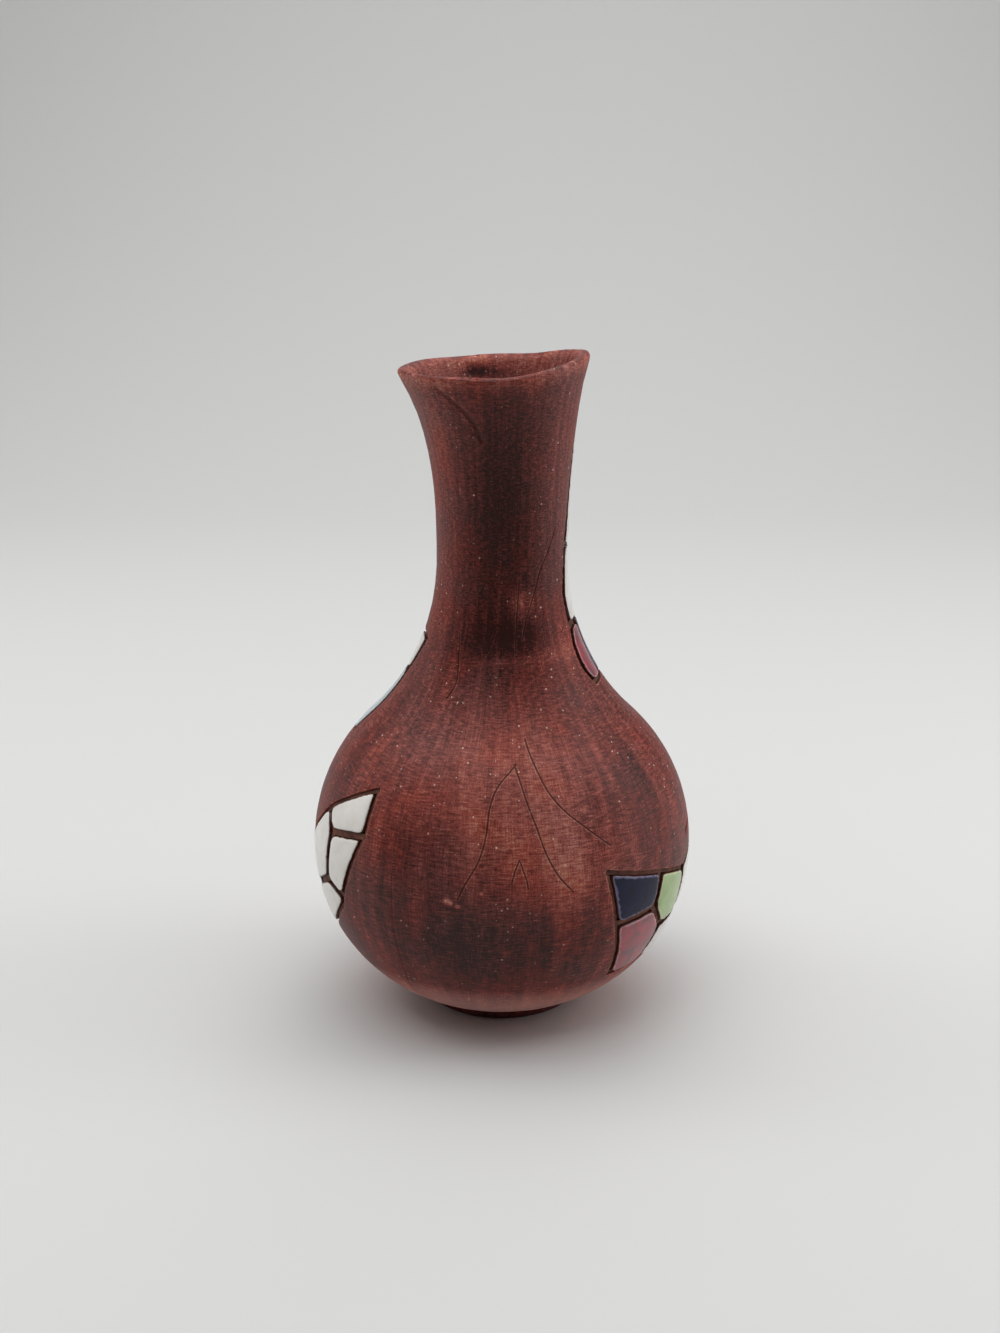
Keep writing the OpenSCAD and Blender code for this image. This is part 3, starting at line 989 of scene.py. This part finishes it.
    def rim_drop(self, points: np.ndarray) -> np.ndarray:
        """Works out how far the uneven rim sinks, fading out down the neck.

        Args:
            points: Places in millimetres.

        Returns:
            Drop of each point in millimetres.
        """
        turn = bearings(points)
        share = np.clip((points[:, 2] - self.rim + 2 * self.lip_zone) / self.lip_zone, 0, 1) ** 2
        lumps = self.rim_sag + sum(size * np.sin(count * turn + start) for size, count, start in self.rim_waves)
        lumps += self.front_dip * np.exp(-(turn / self.front_half) ** 2)
        return share * lumps

    def cut_piece(self, mesh: bpy.types.Mesh, node: str) -> bpy.types.Object:
        """Cuts one piece off at the seam, closes it and dresses it.

        Args:
            mesh: The whole carved clay.
            node: "belly" or "neck".

        Returns:
            The finished piece.
        """
        shape = bmesh.new()
        shape.from_mesh(mesh)
        below = node == "belly"
        bmesh.ops.bisect_plane(shape, geom=[*shape.verts, *shape.edges, *shape.faces], dist=MERGE * MM,
                               plane_co=(0, 0, self.seam * MM), plane_no=(0, 0, 1), clear_outer=below,
                               clear_inner=not below)
        rings = [edge for edge in shape.edges if edge.is_boundary]
        bmesh.ops.bridge_loops(shape, edges=rings)
        for edge in rings:
            edge.smooth = False
        close_up(shape)
        bmesh.ops.recalc_face_normals(shape, faces=shape.faces)
        return settle(f"{node}_clay", as_mesh(shape, node), self.finish.material(), node)

    def sharp_edges(self, mesh: bpy.types.Mesh) -> np.ndarray:
        """Finds the outward corners of the carving, where hands rub the stain off.

        Args:
            mesh: The carved clay.

        Returns:
            Wear of each vertex, from 0 to 1.
        """
        pairs = np.empty(2 * len(mesh.edges), dtype=np.int32)
        mesh.edges.foreach_get("vertices", pairs)
        pairs = pairs.reshape(-1, 2)
        points, normals = points_of(mesh), normals_of(mesh)
        run = points[pairs[:, 1]] - points[pairs[:, 0]]
        length = np.maximum(np.linalg.norm(run, axis=1), 1e-6)
        bend, count = np.zeros(len(points)), np.zeros(len(points))
        for column, sign in ((0, -1), (1, 1)):
            np.add.at(bend, pairs[:, column], sign * np.sum(run * normals[pairs[:, column]], axis=1) / length)
            np.add.at(count, pairs[:, column], 1)
        return np.clip(self.edge_gain * (bend / np.maximum(count, 1) - self.edge_start), 0, 1)

    def below_rim(self, points: np.ndarray) -> np.ndarray:
        """Depth of each point below the uneven rim at its own bearing.

        Args:
            points: Places in millimetres.

        Returns:
            Depths in millimetres.
        """
        turns = (bearings(points) + np.pi) / (2 * np.pi)
        sectors = np.floor(turns * self.rim_sectors).astype(int) % self.rim_sectors
        tops = np.full(self.rim_sectors, -np.inf)
        np.maximum.at(tops, sectors, points[:, 2])
        return tops[sectors] - points[:, 2]


@dataclass
class FootRing:
    """Turned ring luted under the floor, with softened edges."""

    finish: TerracottaFinish
    wobble: Wobble
    rounding: float = 1.1
    upper_rounding: float = 0.4
    rounding_segments: int = 4
    corner_angle: float = 60.0
    steps: int = 160
    weld: float = 0.01
    # Painted shade: the ring is darkened all over, as it sits in shade under the belly.
    lines_and_shade: float = 0.25
    wear_and_shading: float = -0.2

    def build(self) -> bpy.types.Object:
        """Spins, rounds and dresses the ring.

        Returns:
            The foot ring.
        """
        source = points_of(frame["nodes"]["foot_ring"].data)
        radii = np.hypot(source[:, 0], source[:, 1])
        top = source[:, 2].max()
        shape = bmesh.new()
        corners = [shape.verts.new((radius * MM, 0, height * MM)) for radius, height in
                   ((radii.max(), 0), (radii.max(), top), (radii.min(), top), (radii.min(), 0))]
        section = [shape.edges.new((corners[k], corners[(k + 1) % 4])) for k in range(4)]
        bmesh.ops.spin(shape, geom=[*corners, *section], axis=(0, 0, 1), cent=(0, 0, 0), angle=2 * math.pi,
                       steps=self.steps, use_merge=True, use_duplicate=False)
        bmesh.ops.remove_doubles(shape, verts=shape.verts, dist=self.weld * MM)
        bmesh.ops.recalc_face_normals(shape, faces=shape.faces)
        for height, offset in ((0, self.rounding), (top, self.upper_rounding)):
            edges = [edge for edge in shape.edges if edge.calc_face_angle(0) > math.radians(self.corner_angle)
                     and all(abs(vertex.co.z / MM - height) < self.weld for vertex in edge.verts)]
            bmesh.ops.bevel(shape, geom=edges, offset=offset * MM, offset_type="OFFSET",
                            segments=self.rounding_segments, profile=0.5, affect="EDGES", material=-1,
                            clamp_overlap=True)
        mesh = as_mesh(shape, "foot_ring")
        move_points(mesh, self.wobble.moved(points_of(mesh)))
        write_attribute(mesh, "lines_and_shade", np.full(len(mesh.vertices), self.lines_and_shade))
        write_attribute(mesh, "wear_and_shading", np.full(len(mesh.vertices), self.wear_and_shading))
        return settle("foot_ring_clay", mesh, self.finish.material(), "foot_ring")


@dataclass
class Mosaic:
    """Glazed tiles in their carved recesses, on a bed of slip."""

    bedding: BeddingFinish
    glazes: tuple[GlazeFinish, ...]
    wobble: Wobble
    voxel: float = 0.34
    corner: float = 2.8
    corner_cut: float = 0.8
    relax_passes: int = 4
    rim_sink: float = 0.12
    rim_reach: float = 1.2
    wave: float = 0.07
    wave_size: float = 9.0
    swell: float = 0.06
    nibble: float = 0.22
    nibble_size: float = 2.6
    bed_step: float = 1.4
    bed_rounds: int = 4
    bed_crease: float = 35.0
    bed_lump: float = 0.1
    bed_lump_size: float = 2.0
    side_start: float = 0.7
    side_fade: float = 0.35
    flat_angle: float = 1.0
    upright_angle: float = 20.0
    upright_share: float = 0.75
    rim_angle: float = 45.0
    rim_samples: int = 8
    face_share: float = 0.55

    def build(self) -> list[bpy.types.Object]:
        """Models and dresses the bedding and every tile.

        Returns:
            The pieces.
        """
        slip = self.bedding.material()
        pieces = [settle(f"{node}_slip", self.bed_mesh(node), slip, node)
                  for node in ("belly_bed", "collar_bed")]
        finishes = {glaze.slot.value: (glaze.slot, glaze.material()) for glaze in self.glazes}
        for subpart in frame["record"]["subparts"]:
            if subpart["material_slot"] in finishes:
                slot, material = finishes[subpart["material_slot"]]
                node = subpart["node"]
                pieces.append(settle(f"{node}_glazed", self.tile_mesh(node), material, node))
        return pieces

    def bed_mesh(self, node: str) -> bpy.types.Mesh:
        """Roughens a copy of the bedding, which shows between the tiles.

        Args:
            node: Name of the bedding's node.

        Returns:
            The rough bedding.
        """
        shape = cad_copy(node)
        for _ in range(self.bed_rounds):
            long_edges = [edge for edge in shape.edges if edge.calc_length() > self.bed_step * MM]
            bmesh.ops.subdivide_edges(shape, edges=long_edges, cuts=1)
            cut_to_triangles(shape)
        close_up(shape)
        for edge in shape.edges:
            edge.smooth = edge.calc_face_angle(0) < math.radians(self.bed_crease)
        mesh = as_mesh(shape, node)
        points = points_of(mesh)
        lumps = self.bed_lump * ripple(points, self.bed_lump_size)
        move_points(mesh, self.wobble.moved(points + lumps[:, None] * normals_of(mesh)))
        return mesh

    def tile_mesh(self, node: str) -> bpy.types.Mesh:
        """Rounds a copy of a tile as glaze rounds it: soft corners, a lower rim and a slightly wavy face.

        Args:
            node: Name of the tile's node.

        Returns:
            The rounded tile.
        """
        shape = cad_copy(node)
        bmesh.ops.dissolve_limit(shape, angle_limit=math.radians(self.flat_angle), verts=shape.verts,
                                 edges=shape.edges)
        outwards = self.facing(shape)
        corners = self.corners_of(shape, outwards)
        rim = search_tree(self.rim_spots(shape))
        soft = as_shape(modified(as_mesh(shape, node), "REMESH", mode="VOXEL", voxel_size=self.voxel * MM))
        relax(soft, self.relax_passes)
        close_up(soft)
        mesh = as_mesh(soft, node)
        points, normals = points_of(mesh), normals_of(mesh)
        inset = np.array([rim.find(Vector(place) * MM)[2] / MM for place in points])
        upward = normals @ np.array(outwards)
        sink = np.clip(2 * upward, 0, 1) * (self.rim_sink * np.exp(-inset / self.rim_reach)
                                            + self.wave * (0.5 + 0.5 * ripple(points, self.wave_size)))
        spread = self.swell + self.nibble * ripple(points, self.nibble_size)
        moved = points + spread[:, None] * self.level(normals, outwards) - sink[:, None] * np.array(outwards)
        for corner in corners:
            inwards = self.level(corners.mean(axis=0) - corner, outwards)
            away = np.linalg.norm(self.level(points - corner, outwards), axis=1)
            cut = self.corner_cut * np.clip(1 - away / self.corner, 0, 1) ** 2
            moved += cut[:, None] * inwards / np.linalg.norm(inwards)
        move_points(mesh, self.wobble.moved(moved))
        write_attribute(mesh, "rim", inset)
        write_attribute(mesh, "side", np.clip((self.side_start - upward) / self.side_fade, 0, 1))
        return mesh

    def corners_of(self, shape: bmesh.types.BMesh, outwards: Vector) -> np.ndarray:
        """Finds the corners of a tile's outline.

        Args:
            shape: The sharp tile.
            outwards: Direction of its face.

        Returns:
            Middle of each upright edge in millimetres.
        """
        uprights = [edge.verts for edge in shape.edges
                    if edge.calc_face_angle(0) > math.radians(self.upright_angle)
                    and abs((edge.verts[1].co - edge.verts[0].co).normalized().dot(outwards)) > self.upright_share]
        return np.array([(start.co + stop.co) / 2 for start, stop in uprights]) / MM

    def rim_spots(self, shape: bmesh.types.BMesh) -> list[Vector]:
        """Samples the sharp edges of a tile.

        Args:
            shape: The sharp tile.

        Returns:
            Places along its edges in metres.
        """
        ends = [edge.verts for edge in shape.edges if edge.calc_face_angle(0) > math.radians(self.rim_angle)]
        return [start.co.lerp(stop.co, k / self.rim_samples) for start, stop in ends
                for k in range(self.rim_samples)]

    @staticmethod
    def level(arrows: np.ndarray, outwards: Vector) -> np.ndarray:
        """Share of each arrow that runs along a tile's face."""
        return arrows - (arrows @ np.array(outwards))[..., None] * np.array(outwards)

    def facing(self, shape: bmesh.types.BMesh) -> Vector:
        """Finds the direction of a tile's glazed face.

        Args:
            shape: The sharp tile.

        Returns:
            Mean direction of the faces that look away from the axis.
        """
        total = Vector((0, 0, 0))
        for face in shape.faces:
            middle = face.calc_center_median()
            if face.normal.dot(Vector((middle.x, middle.y, 0)).normalized()) > self.face_share:
                total += face.normal * face.calc_area()
        return total.normalized()


@dataclass(frozen=True)
class Softbox:
    """Lamp with a broad even face that looks at the object."""

    name: str
    place: tuple[float, float, float]
    width: float
    height: float
    watts: float

    def hang(self, aim: tuple[float, float, float]) -> None:
        """Puts the lamp in the scene.

        Args:
            aim: Place that it faces, in millimetres.
        """
        light = bpy.data.lights.new(self.name, "AREA")
        light.shape = "RECTANGLE"
        light.size = self.width * MM
        light.size_y = self.height * MM
        light.energy = self.watts
        lamp = bpy.data.objects.new(self.name, light)
        lamp.location = Vector(self.place) * MM
        lamp.rotation_euler = (Vector(aim) - Vector(self.place)).to_track_quat("-Z", "Y").to_euler()
        bpy.context.scene.collection.objects.link(lamp)


SOFTBOXES = (
    Softbox("ceiling_softbox", (-50, 100, 1350), width=2200, height=2000, watts=27.0),
    Softbox("left_softbox", (-900, 250, 450), width=500, height=900, watts=1.6),
    Softbox("right_softbox", (900, 50, 450), width=500, height=900, watts=3.0),
)


@dataclass
class Studio:
    """Pale sweep, soft light and the camera at the height and angle of the photograph."""

    lens: float = 50.0
    sensor: float = 36.0
    pitch_degrees: float = 16.5
    camera_place: tuple[float, float, float] = (-0.7, -602.1, 297.0)
    sweep_width: float = 1900.0
    sweep_front: float = -480.0
    sweep_back: float = 1500.0
    sweep_height: float = 2600.0
    sweep_round: float = 700.0
    sweep_segments: int = 24
    paper: str = "#d9d9d8"
    paper_roughness: float = 0.9
    room_light: float = 0.07
    room_seen: float = 0.95
    aim: tuple[float, float, float] = (0.0, 0.0, 110.0)

    def build(self) -> None:
        """Places sweep, lamps, world and camera."""
        self.sweep()
        for softbox in SOFTBOXES:
            softbox.hang(self.aim)
        self.world()
        self.camera()
        bpy.context.scene.view_settings.view_transform = "Standard"

    def sweep(self) -> None:
        """Pale paper that runs from under the object into a rounded upright backdrop."""
        shape = bmesh.new()
        half = self.sweep_width / 2
        front = [shape.verts.new((x * MM, self.sweep_front * MM, 0)) for x in (-half, half)]
        edge = shape.edges.new(front)
        fold = None
        for step in ((0, self.sweep_back - self.sweep_front, 0), (0, 0, self.sweep_height)):
            grown = bmesh.ops.extrude_edge_only(shape, edges=[edge])["geom"]
            bmesh.ops.translate(shape, verts=[g for g in grown if isinstance(g, bmesh.types.BMVert)],
                                vec=Vector(step) * MM)
            fold = edge
            edge = next(g for g in grown if isinstance(g, bmesh.types.BMEdge)
                        and abs((g.verts[1].co - g.verts[0].co).x) > half * MM)
        bmesh.ops.bevel(shape, geom=[fold], offset=self.sweep_round * MM, offset_type="OFFSET",
                        segments=self.sweep_segments, profile=0.5, affect="EDGES", material=-1)
        bmesh.ops.recalc_face_normals(shape, faces=shape.faces)
        material, _, shader = new_material("matt_paper_sweep")
        shader.inputs["Base Color"].default_value = linear(self.paper)
        shader.inputs["Roughness"].default_value = self.paper_roughness
        mesh = as_mesh(shape, "paper_sweep")
        mesh.materials.append(material)
        paper = bpy.data.objects.new("paper_sweep", mesh)
        bpy.context.scene.collection.objects.link(paper)

    def world(self) -> None:
        """Dim even light from the room, which the camera itself sees as pale as the sweep."""
        world = bpy.data.worlds.new("room")
        world.use_nodes = True
        tree = world.node_tree
        background = tree.nodes["Background"]
        background.inputs["Color"].default_value = linear(self.paper)
        seen = add_node(tree, "ShaderNodeLightPath").outputs["Is Camera Ray"]
        strength = add_node(tree, "ShaderNodeMapRange", {"Value": seen, "To Min": self.room_light,
                                                         "To Max": self.room_seen})
        tree.links.new(strength.outputs[0], background.inputs["Strength"])
        bpy.context.scene.world = world

    def camera(self) -> None:
        """Sets the camera of the photograph."""
        data = bpy.data.cameras.new("camera")
        data.lens = self.lens
        data.sensor_width = self.sensor
        camera = bpy.data.objects.new("camera", data)
        camera.location = Vector(self.camera_place) * MM
        camera.rotation_euler = (math.radians(90 - self.pitch_degrees), 0, 0)
        bpy.context.scene.collection.objects.link(camera)
        bpy.context.scene.camera = camera


def main() -> None:
    """Builds the pot piece by piece, then its studio, and notes the sizes."""
    logging.basicConfig(level=logging.INFO, format="%(message)s")
    clay = TerracottaFinish()
    wobble = Wobble()
    pieces = ClayBody(clay, wobble).build()
    pieces.append(FootRing(clay, wobble).build())
    pieces.extend(Mosaic(BeddingFinish(), GLAZES, wobble).build())
    for piece in pieces:
        LOG.info("%s: %d faces", piece.name, len(piece.data.polygons))
    Studio().build()


if __name__ == "__main__":
    main()
